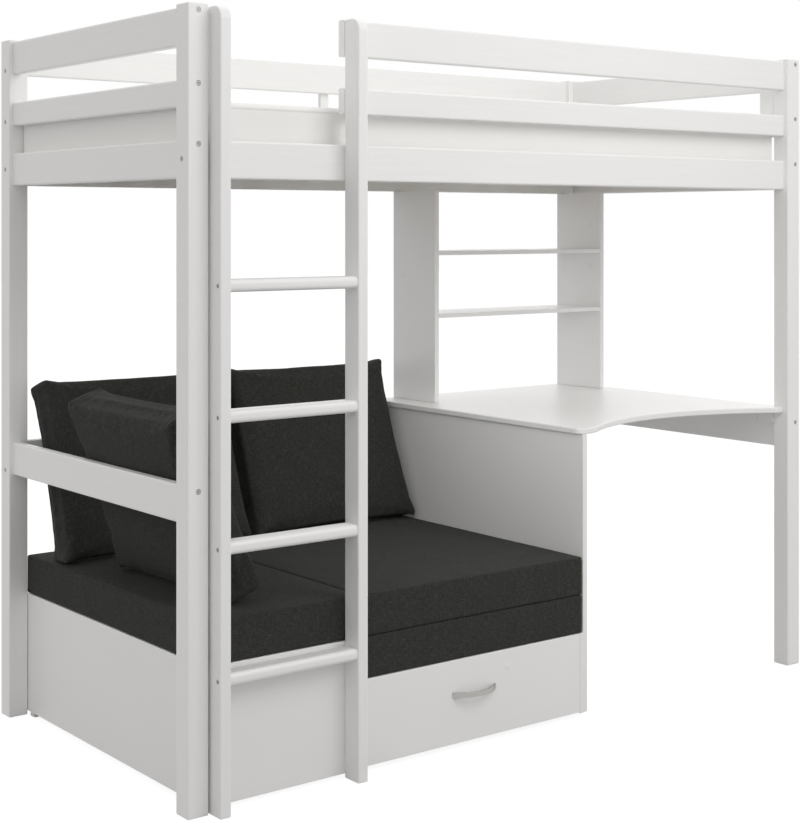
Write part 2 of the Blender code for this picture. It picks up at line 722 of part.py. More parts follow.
def make_sofa_box(bed):
    """The fixed box behind the ladder, and the panels round the pull-out's bay."""
    front = BEHIND_FRONT
    back = BASE_PANEL_BACK - FIT
    inner = BASE_LEFT + PANEL + FIT
    uprights = (
        ("base_end_panel", BASE_LEFT, PANEL, BASE_FRONT, BACK_RAIL_OUTER, BASE_TOP),
        ("base_divider", BOX_RIGHT - PANEL, PANEL, front, back, BASE_TOP),
        ("base_right_panel", BASE_RIGHT - SIDE_PANEL_THIN, SIDE_PANEL_THIN, BASE_FRONT, back, PULL_TOP),
    )
    for name, left, thick, start, end, top in uprights:
        low = (left, start, BASE_FOOT)
        high = (left + thick, end, top)
        add_glides(panel(name, low, high, "white_panel", bed), low, high, bed)
    panel("base_front_panel", (inner, BASE_FRONT, BASE_FOOT),
          (BOX_RIGHT, BASE_FRONT + PANEL, BASE_TOP), "white_panel", bed)
    panel("base_back_panel", (inner, BASE_PANEL_BACK, BASE_FOOT),
          (BASE_RIGHT, BACK_RAIL_OUTER, BASE_TOP), "white_panel", bed)
    panel("base_platform", (inner, front, BASE_TOP - PANEL),
          (BOX_RIGHT - PANEL - FIT, back, BASE_TOP), "white_panel", bed)


def comb_slot(i):
    """Left and right edges of one of the interleaved slats, counted from the left."""
    pitch = (BAY_RIGHT - BAY_LEFT) / (2 * COMB_PAIRS)
    middle = BAY_LEFT + pitch * (i + 1 / 2)
    return middle - COMB_SLAT_WIDE / 2, middle + COMB_SLAT_WIDE / 2


def cross_rail_outline(first, left, right):
    """A cross rail seen from the front: seats for its own slats, sunk where the others slide."""
    points = [(left, CROSS_RAIL_LOW), (right, CROSS_RAIL_LOW), (right, CROSS_RAIL_TOP)]
    for i in reversed(range(first, 2 * COMB_PAIRS, 2)):
        slot_left, slot_right = comb_slot(i)
        seat_left = slot_left + COMB_SEAT_INSET
        seat_right = slot_right - COMB_SEAT_INSET
        seat = COMB_LOW + JOINT_BITE
        points += [(seat_right, CROSS_RAIL_TOP), (seat_right, seat)]
        points += [(seat_left, seat), (seat_left, CROSS_RAIL_TOP)]
    return points + [(left, CROSS_RAIL_TOP)]


def make_comb(name, first, left, right, rail_fronts, parent):
    """Every other slat, from first on, on a cross rail at each end."""
    front = rail_fronts[0]
    back = rail_fronts[1] + CROSS_RAIL_THICK
    slats = bmesh.new()
    for i in range(first, 2 * COMB_PAIRS, 2):
        slot_left, slot_right = comb_slot(i)
        low = (slot_left, front, COMB_LOW)
        add_bar(slats, low, (slot_right, back, PULL_TOP), "Y", SLAT_ROUND, 1)
    comb = to_object(name, slats, "pine", parent)
    rails = bmesh.new()
    outline = cross_rail_outline(first, left, right)
    for start in rail_fronts:
        add_prism(rails, outline, "Y", start, start + CROSS_RAIL_THICK)
    combine(comb, rails, "UNION", parent)


def make_fixed_comb(bed):
    """The slats that stay in the base."""
    ledger = BASE_PANEL_BACK - FIT - CROSS_RAIL_THICK
    make_comb("base_slat_frame", 0, BAY_LEFT, BAY_RIGHT, (CROSS_RAIL_FRONT, ledger), bed)


def make_pull_out(slide):
    """The part that rolls out: front board, and the slats between the fixed ones."""
    panel("pullout_front", (PULL_LEFT, BASE_FRONT, PULL_FOOT),
          (PULL_RIGHT, BASE_FRONT + PANEL, PULL_TOP), "white_panel", slide)
    left = BAY_LEFT + PULL_SIDE_GAP
    right = BAY_RIGHT - PULL_SIDE_GAP
    make_comb("pullout_slat_frame", 1, left, right, (BEHIND_FRONT, SLIDE_RAIL_BACK), slide)


def make_handle(slide):
    """A bow handle: a flat band bent to an arc, its feet on the front board."""
    foot = BASE_FRONT - FIT
    half = HANDLE_SPAN / 2
    radius = (half ** 2 + HANDLE_REACH ** 2) / (2 * HANDLE_REACH)
    centre = (HANDLE_CENTRE, foot - HANDLE_REACH + radius)
    inner = radius - HANDLE_BAND
    outer_turn = math.degrees(math.asin(half / radius))
    inner_turn = math.degrees(math.acos((centre[1] - foot) / inner))
    outline = arc(centre, radius, 270 - outer_turn, 270 + outer_turn, HANDLE_STEPS)
    outline += arc(centre, inner, 270 + inner_turn, 270 - inner_turn, HANDLE_STEPS)
    bm = bmesh.new()
    add_prism(bm, outline, "Z", HANDLE_LEVEL - HANDLE_HIGH / 2, HANDLE_LEVEL + HANDLE_HIGH / 2)
    to_object("pullout_handle", bm, "nickel", slide, smooth=True)


def axle_places():
    depth = BEHIND_FRONT + FORK_SHEET + FORK_WHEEL_GAP + WHEEL_RADIUS
    for side, across in (("left", BOX_RIGHT + CASTOR_FROM_END), ("right", BAY_RIGHT - CASTOR_FROM_END)):
        yield side, (across, depth, WHEEL_RADIUS)


def make_castors(slide):
    """Two fixed castors: a bent fork screwed behind the front board, its pin and its wheel."""
    inner = WHEEL_WIDE / 2 + FORK_SIDE_GAP
    outer = inner + FORK_SHEET
    for side, place in axle_places():
        across, depth, level = place
        outline = [(BEHIND_FRONT + FORK_SHEET, FORK_TOP), (BEHIND_FRONT, FORK_TOP)]
        outline += [(BEHIND_FRONT, level - FORK_TIP_RADIUS)]
        outline += arc((depth, level), FORK_TIP_RADIUS, 270, 390, 6)
        outline += [(BEHIND_FRONT + FORK_SHEET, FORK_TOP - 2 * FORK_TIP_RADIUS)]
        blank = bmesh.new()
        add_prism(blank, outline, "X", across - outer, across + outer)
        fork = to_object(f"castor_fork_{side}", blank, "zinc", slide)
        slot = bmesh.new()
        low = (across - inner, BEHIND_FRONT + FORK_SHEET, 0)
        high = (across + inner, depth + WHEEL_RADIUS, FORK_TOP + CUT_OVERRUN)
        add_bar(slot, low, high, "X")
        combine(fork, slot, "DIFFERENCE", slide)
        pin = bmesh.new()
        end = outer + FORK_SHEET
        add_prism(pin, regular((depth, level), AXLE_RADIUS, AXLE_SIDES), "X", across - end, across + end)
        combine(fork, pin, "UNION", slide)
        make_wheel(f"castor_wheel_{side}", place, slide)


def make_wheel(name, place, slide):
    half = WHEEL_WIDE / 2
    web = half - WHEEL_WEB_SINK
    bore = AXLE_RADIUS + AXLE_SLACK
    side = [
        (half, bore), (half, WHEEL_HUB_RADIUS), (web, WHEEL_HUB_RADIUS), (web, WHEEL_RIM_RADIUS),
        (half, WHEEL_RIM_RADIUS), (half, WHEEL_RADIUS - WHEEL_SHOULDER),
        (half - WHEEL_SHOULDER, WHEEL_RADIUS),
    ]
    profile = side + [(-along, radius) for along, radius in reversed(side)]
    bm = bmesh.new()
    add_turned(bm, profile, place, WHEEL_STEPS)
    to_object(name, bm, "grey_plastic", slide, place, smooth=True)


# Seat and cushions

def make_seat(bed):
    front = BASE_FRONT
    back = BASE_PANEL_BACK - SEAT_BACK_GAP
    deep = back - front
    middle = (front + back) / 2
    seam = BOX_RIGHT + FIT
    right = BASE_RIGHT - SEAT_RIGHT_GAP
    wide = seam - SEAT_SEAM_GAP - BASE_LEFT
    upper = UPPER_SEAT_LOW + SEAT_LAYER / 2
    padded("seat_cushion", (wide, deep, SEAT_LAYER), (BASE_LEFT + wide / 2, middle, upper),
           "anthracite_fabric", bed, radius=SEAT_ROUND, cells=(4, 8, 2),
           crown=SEAT_CROWN, draw=SEAT_DRAW, draw_under=SEAT_DRAW, plateau=12)
    wide = right - seam
    across = (seam + right) / 2
    lower = (LOWER_SEAT_LOW + BASE_TOP) / 2
    padded("lower_mattress", (wide, deep, BASE_TOP - LOWER_SEAT_LOW), (across, middle, lower),
           "anthracite_fabric", bed, radius=SEAT_ROUND, cells=(5, 6, 2),
           draw=SEAT_DRAW, draw_under=SEAT_DRAW)
    padded("upper_mattress", (wide, deep, SEAT_LAYER), (across, middle, upper),
           "anthracite_fabric", bed, radius=SEAT_ROUND, cells=(5, 8, 2),
           crown=SEAT_CROWN, draw=SEAT_DRAW, draw_under=SEAT_DRAW, plateau=12)


def cushion_rest():
    """Where a leaning cushion's middle is: how far in from the rail, and how high; and its foot."""
    lean = CUSHION_LEAN
    seat = SEAT_TOP + SEAT_CROWN + FIT
    foot = seat + (CUSHION_THICK / 2 - CUSHION_ROUND) * math.sin(lean)
    foot += CUSHION_ROUND * (1 - math.cos(lean))
    rail = MID_RAIL_LOW + MID_RAIL_HIGH - foot
    half = CUSHION_THICK / 2 + CUSHION_CROWN + FIT
    foot_away = (half + rail * math.sin(lean)) / math.cos(lean)
    away = foot_away - CUSHION_HIGH / 2 * math.sin(lean)
    return away, foot + CUSHION_HIGH / 2 * math.cos(lean), foot_away + half / math.cos(lean)


def make_cushions(bed):
    """Three alike cushions: two lean on the back rail and one on the left end's rail."""
    away, level, foot = cushion_rest()
    shape = {
        "radius": CUSHION_ROUND, "cells": (6, 5, 2), "crown": CUSHION_CROWN,
        "crown_under": CUSHION_CROWN, "draw": CUSHION_DRAW,
    }
    tilt = math.radians(90) - CUSHION_LEAN
    size = (CUSHION_WIDE, CUSHION_HIGH, CUSHION_THICK)
    right = BASE_RIGHT - CUSHION_RIGHT_GAP - CUSHION_WIDE / 2
    for name, across in (("back_cushion_right", right),
                         ("back_cushion_left", right - CUSHION_WIDE - CUSHION_GAP)):
        place = (across, BACK_RAIL_INNER - away, level)
        padded(name, size, place, "anthracite_fabric", bed, (tilt, 0, 0), **shape)
    back = BACK_RAIL_INNER - foot - SIDE_CUSHION_BACK_GAP
    size = (back - SIDE_CUSHION_FRONT, CUSHION_HIGH, CUSHION_THICK)
    place = (LEFT_RAIL_INNER + away, (SIDE_CUSHION_FRONT + back) / 2, level)
    padded("side_cushion", size, place, "anthracite_fabric", bed,
           (tilt, 0, math.radians(90)), **shape)


def main():
    clear_scene()
    bed = make_empty("bed_origin", -ORIGIN)
    slide = make_empty("pullout_slide", (HANDLE_CENTRE, BASE_FRONT, HANDLE_LEVEL), bed)
    posts = make_posts(bed)
    make_end_rails(bed)
    make_side_rails(bed)
    make_guard_battens(bed)
    make_bed_base(bed)
    stringers = make_ladder(bed)
    make_bolt_pockets(bed, posts)
    make_screw_pockets(bed, stringers)
    make_desk(bed)
    make_shelves(bed)
    make_desk_cleat(bed)
    make_sofa_box(bed)
    make_fixed_comb(bed)
    make_pull_out(slide)
    make_handle(slide)
    make_castors(slide)
    make_seat(bed)
    make_cushions(bed)


main()
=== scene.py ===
"""A white loft bed with a desk and a pull-out sofa, dressed: fabric, lacquer, board and metal."""

import math

import bmesh
import bpy
import numpy as np
from mathutils import Euler, Matrix, Vector, noise


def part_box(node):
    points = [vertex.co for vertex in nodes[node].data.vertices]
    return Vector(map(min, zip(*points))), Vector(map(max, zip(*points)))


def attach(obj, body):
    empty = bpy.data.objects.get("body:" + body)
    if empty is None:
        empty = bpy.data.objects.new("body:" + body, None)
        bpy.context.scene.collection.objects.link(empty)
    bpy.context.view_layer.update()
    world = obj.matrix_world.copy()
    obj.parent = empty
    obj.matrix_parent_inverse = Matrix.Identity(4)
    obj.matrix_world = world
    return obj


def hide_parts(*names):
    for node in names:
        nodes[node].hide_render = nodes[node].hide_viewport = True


MM = 0.001

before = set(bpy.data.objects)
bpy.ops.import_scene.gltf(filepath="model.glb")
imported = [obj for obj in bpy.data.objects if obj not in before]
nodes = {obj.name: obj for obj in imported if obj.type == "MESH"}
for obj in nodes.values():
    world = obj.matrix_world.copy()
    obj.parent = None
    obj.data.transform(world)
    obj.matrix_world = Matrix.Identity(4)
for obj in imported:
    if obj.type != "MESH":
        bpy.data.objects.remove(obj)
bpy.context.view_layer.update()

# The camera stands at the ladder end, a little above desk height, and looks level
CAMERA_PLACE = (-2.8525, -3.5796, 1.3137)
CAMERA_LOOK = (0.6105, 0.7920, 0)
CAMERA_LENS = 70.86
CAMERA_SHIFT_Y = -0.2295

# The light: a bright, faintly warm room all round, a wash from behind on the desk's side, a soft
# box in front, and a small one over the sofa that lifts the inner faces. Each lamp: name, kind,
# where it is or comes from, what it is aimed at, strength, size or spread
ROOM_LIGHT = 0.77
ROOM_TINT = "FFFDFC"
LAMPS = (
    ("back_wash", "SUN", (0.7, 0.7, 0.25), (0, 0, 0), 0.84, math.radians(110)),
    ("front_box", "AREA", (0.3, -2.5, 2.6), (0, 0, 0.9), 20.5, 1.5),
    ("sofa_fill", "AREA", (-0.35, -0.35, 1.05), (0.9, 0.2, 0.8), 0.9, 0.5),
)
FLOOR_SHADE = 0.18           # how much of the floor's white can fall into shadow
FLOOR_LEFT = 0.5             # how much of that its own glow leaves to the lamps
FLOOR_BOUNCE = 0.40          # how much light the floor sends back up to the bed
FLOOR_SIZE = 60
FLOOR_DROP = 0.2 * MM        # the floor lies this far under the feet

# Padded pieces: creases to the metre, and how far each piece's creases are from the last one's
CREASES_TO_METRE = 9
CREASE_SHIFT = (7.3, 3.1, 5.7)

# The loose cushions lean back. The lower front edge of the two at the back sags onto the seat and
# spreads at the outer end. CLOTH_STEPS is how long the cloth runs that fills them
CUSHION_LEAN = math.radians(19)
CUSHION_SAG = 34 * MM
CUSHION_SPREAD = 16 * MM
CLOTH_STEPS = 20

# Where the fittings sit, as in the frame's own pockets
RAILS = ("top_guard", "low_guard", "bed_rail", "mid_rail")
BOLT_FROM_EDGE = 10.5 * MM   # rail's edge to the bolt's middle
END_BOLT_SHIFT = 4 * MM      # end rail's middle to its bolt
BOLT_SINK = 3.4 * MM         # post's face to the underside of the bolt's head
SCREW_FORWARD = 17 * MM      # rung's middle to its screw
SCREW_SINK = 2.4 * MM        # stringer's face to the start of the screw's head
LEDGER_HIGH = 28.2 * MM      # underside of the bed rail to the slats

# Heads and caps as they turn on a lathe: radius and height in mm, from the foot up
BOLT_HEAD = ((6.4, -0.5), (6.6, 0.8), (6.3, 2.0), (5.6, 2.6))
BOLT_SOCKET = (2.5, 2.0)
SCREW_HEAD = ((4.0, -0.5), (4.2, 2.5), (5.3, 2.6), (5.1, 3.0), (4.1, 3.3))
SCREW_SOCKET = (2.1, 1.6)
CAP_DISC = ((9, 0), (9, 0.3), (8.5, 0.5))
HEAD_STEPS = 24

# Push-in caps, in mm from the panel's front edge and foot, and from the front board's right end
CAP_OFFSET = 0.2 * MM        # from the face to the cap's foot
CAP_PLACES = (
    ("shelf_left_panel", ((158, 387),)),
    ("shelf_right_panel", ((51, 537), (51, 404), (51, 321))),
)
FRONT_CAP_PLACE = (256, 163)

# The glides' shoes: their height and length, how much thinner they are than the panel, and how far
# the feet stand from the panel's two ends
GLIDE_HIGH = 9.4 * MM
GLIDE_LONG = 25 * MM
GLIDE_THINNER = 1 * MM
GLIDE_FROM_FRONT = 50 * MM
GLIDE_FROM_BACK = 74 * MM
GLIDE_TO_MIDDLE = 12 * MM

# The strip that closes the slot under the desktop, and its play at both ends
PACKER_THICK = 20 * MM
PACKER_PLAY = 0.3 * MM

# The bow handle's band, and the pieces that its arc is cut into
BAND_THICK = 4 * MM
BAND_STEPS = 40


# Small helpers

def srgb(code, alpha=1):
    """A colour written as sRGB hex, as linear light."""
    parts = [int(code[i:i + 2], 16) / 255 for i in (0, 2, 4)]
    return (*[p / 12.92 if p <= 0.04045 else ((p + 0.055) / 1.055) ** 2.4 for p in parts], alpha)


def add_node(tree, kind, inputs=None, **settings):
    """Add a node, give it its settings, and set or link its inputs."""
    made = tree.nodes.new(kind)
    for name, value in settings.items():
        setattr(made, name, value)
    for name, value in (inputs or {}).items():
        if isinstance(value, bpy.types.NodeSocket):
            tree.links.new(value, made.inputs[name])
        else:
            made.inputs[name].default_value = value
    return made


def start_material(name, colour, roughness, metallic=0.0, ior=1.5):
    material = bpy.data.materials.new(name)
    material.use_nodes = True
    tree = material.node_tree
    shader = tree.nodes["Principled BSDF"]
    shader.inputs["Base Color"].default_value = srgb(colour)
    shader.inputs["Roughness"].default_value = roughness
    shader.inputs["Metallic"].default_value = metallic
    shader.inputs["IOR"].default_value = ior
    return material, tree, shader


def blend_colours(tree, share, first, second):
    mixed = add_node(tree, "ShaderNodeMix", data_type="RGBA")
    tree.links.new(share, mixed.inputs["Factor"])
    for socket, value in ((mixed.inputs[6], first), (mixed.inputs[7], second)):
        if isinstance(value, bpy.types.NodeSocket):
            tree.links.new(value, socket)
        else:
            socket.default_value = srgb(value)
    return mixed.outputs[2]


def ranged(tree, value, low, high, to_low, to_high):
    return add_node(tree, "ShaderNodeMapRange", {
        "Value": value, "From Min": low, "From Max": high, "To Min": to_low, "To Max": to_high,
    }).outputs["Result"]


def maths(tree, operation, first, second=0.0):
    return add_node(tree, "ShaderNodeMath", {0: first, 1: second}, operation=operation).outputs[0]


def arches(tree, angle):
    """Rounded ridges side by side, one to each half turn of the angle."""
    return maths(tree, "ABSOLUTE", maths(tree, "SINE", angle))


def seen_straight(tree):
    """1 where the camera, a reflection or a clear material looks, and 0 for the light itself."""
    path = add_node(tree, "ShaderNodeLightPath")
    mirrored = maths(tree, "MAXIMUM", path.outputs["Is Glossy Ray"],
                     path.outputs["Is Transmission Ray"])
    return maths(tree, "MAXIMUM", path.outputs["Is Camera Ray"], mirrored)


def relief(tree, shader, height, depth_mm):
    """Raise the surface by a height from 0 to 1 that stands for depth_mm."""
    bump = add_node(tree, "ShaderNodeBump", {
        "Height": height, "Distance": depth_mm * MM, "Strength": 1.0,
    })
    tree.links.new(bump.outputs["Normal"], shader.inputs["Normal"])


def stretched(tree, scale):
    """Object coordinates in metres, multiplied by so many per metre on each axis."""
    place = add_node(tree, "ShaderNodeTexCoord")
    return add_node(tree, "ShaderNodeMapping", {
        "Vector": place.outputs["Object"], "Scale": scale,
    }).outputs["Vector"]


# Finishes

def grain_scale(along, across_mm, length_mm):
    scale = [1000 / across_mm] * 3
    scale["XYZ".index(along)] = 1000 / length_mm
    return scale


def lacquered_pine(along):
    """Planed pine, sprayed with a satin white lacquer: the grain only just tells through it."""
    material, tree, shader = start_material(f"white_lacquered_pine_{along}", "F1F1EE", 0.42)
    streaks = add_node(tree, "ShaderNodeTexNoise", {
        "Vector": stretched(tree, grain_scale(along, 9, 260)), "Scale": 1.0, "Detail": 5.0,
        "Roughness": 0.62, "Distortion": 0.4,
    }).outputs["Fac"]
    spray = add_node(tree, "ShaderNodeTexNoise", {
        "Vector": stretched(tree, (1, 1, 1)), "Scale": 420.0, "Detail": 2.0,
    }).outputs["Fac"]
    tone = ranged(tree, streaks, 0.3, 0.7, 0, 1)
    tree.links.new(blend_colours(tree, tone, "F2F2F1", "F5F5F4"), shader.inputs["Base Color"])
    tree.links.new(ranged(tree, streaks, 0.25, 0.75, 0.38, 0.47), shader.inputs["Roughness"])
    height = maths(tree, "ADD", maths(tree, "MULTIPLY", streaks, 0.8),
                   maths(tree, "MULTIPLY", spray, 0.2))
    relief(tree, shader, height, 0.12)
    shader.inputs["Coat Weight"].default_value = 0.15
    shader.inputs["Coat Roughness"].default_value = 0.25
    return material


def melamine_board():
    """Chipboard faced with white melamine: even, slightly pearled by the press plate."""
    material, tree, shader = start_material("white_melamine_board", "EEEEEC", 0.38)
    pearl = add_node(tree, "ShaderNodeTexNoise", {
        "Vector": stretched(tree, (1, 1, 1)), "Scale": 650.0, "Detail": 3.0, "Roughness": 0.5,
    }).outputs["Fac"]
    cloud = add_node(tree, "ShaderNodeTexNoise", {
        "Vector": stretched(tree, (1, 1, 1)), "Scale": 3.0, "Detail": 2.0,
    }).outputs["Fac"]
    tree.links.new(blend_colours(tree, cloud, "F1F1F0", "F5F5F4"), shader.inputs["Base Color"])
    tree.links.new(ranged(tree, pearl, 0.3, 0.7, 0.33, 0.43), shader.inputs["Roughness"])
    relief(tree, shader, pearl, 0.06)
    return material


def planed_pine(name="planed_pine", painted_below=None):
    """Planed, unpainted softwood: pale and warm, with darker late wood and a few knots. What
    lies below a given level is painted white, as the ledgers under the slats are."""
    material, tree, shader = start_material(name, "DDBB88", 0.58)
    along = stretched(tree, grain_scale("Y", 16, 420))
    bend = add_node(tree, "ShaderNodeTexNoise", {
        "Vector": along, "Scale": 0.6, "Detail": 2.0,
    }).outputs["Fac"]
    rings = add_node(tree, "ShaderNodeTexWave", {
        "Vector": along, "Scale": 0.55, "Distortion": 6.0, "Detail": 3.0, "Detail Scale": 1.2,
    }, wave_type="BANDS", bands_direction="X").outputs["Fac"]
    knots = add_node(tree, "ShaderNodeTexVoronoi", {
        "Vector": stretched(tree, (9, 4.5, 9)), "Scale": 1.0, "Randomness": 1.0,
    }).outputs["Distance"]
    knot = ranged(tree, knots, 0.05, 0.13, 1, 0)
    wood = blend_colours(tree, ranged(tree, rings, 0.2, 1.0, 0, 1), "E6C896", "CDA064")
    wood = blend_colours(tree, ranged(tree, bend, 0.3, 0.8, 0, 0.35), wood, "D9B07A")
    wood = blend_colours(tree, knot, wood, "7A4E2A")
    if painted_below is not None:
        place = add_node(tree, "ShaderNodeSeparateXYZ", {"Vector": stretched(tree, (1, 1, 1))})
        bare = maths(tree, "GREATER_THAN", place.outputs["Z"], painted_below)
        wood = blend_colours(tree, bare, "F1F1EE", wood)
    tree.links.new(wood, shader.inputs["Base Color"])
    relief(tree, shader, rings, 0.15)
    return material


def woven_cover():
    """Polyester upholstery in a plain weave of two near-black yarns, with paler slubs along both
    ways of the cloth. The yarns are 0.6 mm in the cloth and drawn 1.6 mm wide so that they show."""
    material, tree, shader = start_material("anthracite_plain_weave", "33343A", 0.92)
    spacing = 1.6 * MM
    uv = add_node(tree, "ShaderNodeUVMap", uv_map="cloth")
    parts = add_node(tree, "ShaderNodeSeparateXYZ", {"Vector": uv.outputs["UV"]})
    across = maths(tree, "DIVIDE", parts.outputs["X"], spacing)
    up = maths(tree, "DIVIDE", parts.outputs["Y"], spacing)
    bend_across = arches(tree, maths(tree, "MULTIPLY", across, math.pi))
    bend_up = arches(tree, maths(tree, "MULTIPLY", up, math.pi))
    crossing = maths(tree, "ADD", maths(tree, "FLOOR", across), maths(tree, "FLOOR", up))
    over = maths(tree, "PINGPONG", crossing, 1.0)
    warp = maths(tree, "MULTIPLY", bend_across, over)
    weft = maths(tree, "MULTIPLY", bend_up, maths(tree, "SUBTRACT", 1.0, over))
    yarn = maths(tree, "ADD", warp, weft)
    slubs = []
    for stretch in ((1000 / 2.5, 1000 / 16, 1), (1000 / 16, 1000 / 2.5, 1)):
        along = add_node(tree, "ShaderNodeMapping", {"Vector": uv.outputs["UV"], "Scale": stretch})
        slubs.append(add_node(tree, "ShaderNodeTexNoise", {
            "Vector": along.outputs["Vector"], "Scale": 1.0, "Detail": 3.0, "Roughness": 0.6,
        }).outputs["Fac"])
    slub = maths(tree, "MAXIMUM", slubs[0], slubs[1])
    patch = add_node(tree, "ShaderNodeTexNoise", {
        "Vector": uv.outputs["UV"], "Scale": 14.0, "Detail": 3.0, "Roughness": 0.6,
    }).outputs["Fac"]
    cloth = blend_colours(tree, over, "363735", "2E2F2D")
    cloth = blend_colours(tree, ranged(tree, slub, 0.48, 0.68, 0, 1), cloth, "474843")
    cloth = blend_colours(tree, ranged(tree, patch, 0.35, 0.7, 0, 0.3), cloth, "2E2F2C")
    tree.links.new(cloth, shader.inputs["Base Color"])
    relief(tree, shader, yarn, 0.25)
    shader.inputs["Specular IOR Level"].default_value = 0.1
    shader.inputs["Sheen Weight"].default_value = 0.05
    shader.inputs["Sheen Roughness"].default_value = 0.5
    return material


def knitted_ticking():
    """White double-knit mattress cover: small raised diamonds 12 mm across, and a groove at each of
    its two seams, with painted shade darkening the colour in each groove."""
    material, tree, shader = start_material("white_knitted_ticking", "F2F2F0", 0.85)
    uv = add_node(tree, "ShaderNodeUVMap", uv_map="cloth")
    parts = add_node(tree, "ShaderNodeSeparateXYZ", {"Vector": uv.outputs["UV"]})
    pitch = math.pi / (12 * MM)
    across, up = parts.outputs["X"], parts.outputs["Y"]
    rise = maths(tree, "MULTIPLY", maths(tree, "ADD", across, up), pitch)
    fall = maths(tree, "MULTIPLY", maths(tree, "SUBTRACT", across, up), pitch)
    diamond = maths(tree, "MULTIPLY", arches(tree, rise), arches(tree, fall))
    seam = add_node(tree, "ShaderNodeUVMap", uv_map="seams")
    edges = add_node(tree, "ShaderNodeSeparateXYZ", {"Vector": seam.outputs["UV"]})
    near = maths(tree, "MINIMUM", maths(tree, "ABSOLUTE", edges.outputs["X"]),
                 maths(tree, "ABSOLUTE", edges.outputs["Y"]))
    groove_and_shade = ranged(tree, near, 0.5 * MM, 3.0 * MM, 0, 1)
    # The greyer colour at each seam groove is painted shade; the height it drives below is real
    # relief
    tree.links.new(blend_colours(tree, groove_and_shade, "E4E4E1", "F5F5F3"), shader.inputs["Base Color"])
    height = maths(tree, "ADD", maths(tree, "MULTIPLY", diamond, 0.3),
                   maths(tree, "MULTIPLY", groove_and_shade, 1.5))
    relief(tree, shader, height, 0.3)
    return material


def brushed_nickel():
    """Zinc casting plated with nickel and brushed along its length."""
    material, tree, shader = start_material("brushed_nickel_plate", "A9A8A4", 0.34, 1.0)
    lines = add_node(tree, "ShaderNodeTexNoise", {
        "Vector": stretched(tree, (40, 2500, 2500)), "Scale": 1.0, "Detail": 2.0,
    }).outputs["Fac"]
    tree.links.new(ranged(tree, lines, 0.3, 0.7, 0.28, 0.46), shader.inputs["Roughness"])
    relief(tree, shader, lines, 0.02)
    return material


def zinc_plate():
    """Pressed steel, bright zinc plated: a faint crystal mottle."""
    material, tree, shader = start_material("zinc_plated_steel", "A8AAAC", 0.4, 1.0)
    spangle = add_node(tree, "ShaderNodeTexVoronoi", {
        "Vector": stretched(tree, (1, 1, 1)), "Scale": 320.0,
    }).outputs["Color"]
    tree.links.new(ranged(tree, spangle, 0, 1, 0.32, 0.5), shader.inputs["Roughness"])
    return material


def moulded_plastic(name, colour, roughness):
    """Injection moulded plastic with a fine spark-eroded texture."""
    material, tree, shader = start_material(name, colour, roughness, ior=1.49)
    grit = add_node(tree, "ShaderNodeTexNoise", {
        "Vector": stretched(tree, (1, 1, 1)), "Scale": 1400.0, "Detail": 2.0,
    }).outputs["Fac"]
    tree.links.new(ranged(tree, grit, 0.3, 0.7, roughness - 0.05, roughness + 0.08),
                   shader.inputs["Roughness"])
    relief(tree, shader, grit, 0.05)
    return material


def plated_bolt_steel():
    """Bolt and screw heads: steel with a dull grey plating, rubbed brighter in places."""
    material, tree, shader = start_material("dull_plated_steel", "B2B1AE", 0.55, 1.0)
    rub = add_node(tree, "ShaderNodeTexNoise", {
        "Vector": stretched(tree, (1, 1, 1)), "Scale": 500.0, "Detail": 3.0,
    }).outputs["Fac"]
    tree.links.new(blend_colours(tree, rub, "A4A3A0", "C2C1BE"), shader.inputs["Base Color"])
    return material


# Soft goods

def stations(half, radius, cell):
    """Lines over one side of a padded block: even over the flat, close together in the rounding."""
    flat = half - radius
    count = max(2, round(2 * flat / cell))
    even = [-flat + 2 * flat * i / count for i in range(count + 1)]
    bends = [flat + radius * math.tan(math.radians(angle)) for angle in (15, 30)] + [half]
    return [-b for b in reversed(bends)] + even + bends


def padded_block(size, radius, cell, crown=(0, 0), draw=(0, 0), plateau=8, creases=0, seed=0):
    """A rounded block about the origin, with its crown, drawn-in sides and soft creases.

    size is the block's whole box: the crowns, above and below, are part of its height.
    """
    half = [size[0] / 2, size[1] / 2, (size[2] - crown[0] - crown[1]) / 2]
    middle = (crown[1] - crown[0]) / 2
    lines = [stations(half[i], radius, cell) for i in range(3)]
    bm = bmesh.new()
    verts = {}
    offset = Vector([seed * shift for shift in CREASE_SHIFT])

    def vertex(key):
        if key in verts:
            return verts[key]
        point = Vector([lines[i][key[i]] for i in range(3)])
        core = Vector([max(-half[i] + radius, min(half[i] - radius, point[i])) for i in range(3)])
        way = (point - core).normalized()
        point = core + way * radius
        share = [max(-1, min(1, point[i] / half[i])) for i in range(3)]
        rise = (1 - abs(share[0]) ** plateau) * (1 - abs(share[1]) ** plateau)
        point[0] -= draw[0] * share[0] * (1 - share[1] ** 2)
        point[1] -= draw[1 if share[1] < 0 else 0] * share[1] * (1 - share[0] ** 2)
        if creases:
            slack = noise.fractal(point * CREASES_TO_METRE + offset, 1.0, 2.0, 3)
            point -= way * creases * (0.5 + 0.5 * slack)
        point[2] += crown[0 if share[2] > 0 else 1] * share[2] * rise
        verts[key] = bm.verts.new(point + Vector((0, 0, middle)))
        return verts[key]

    counts = [len(line) - 1 for line in lines]
    for fixed in range(3):
        first, second = [axis for axis in range(3) if axis != fixed]
        for end in (0, counts[fixed]):
            for i in range(counts[first]):
                for j in range(counts[second]):
                    corners = []
                    for step_i, step_j in ((0, 0), (1, 0), (1, 1), (0, 1)):
                        key = [0, 0, 0]
                        key[fixed] = end
                        key[first] = i + step_i
                        key[second] = j + step_j
                        corners.append(vertex(tuple(key)))
                    bm.faces.new(corners)
    bmesh.ops.recalc_face_normals(bm, faces=bm.faces)
    return bm


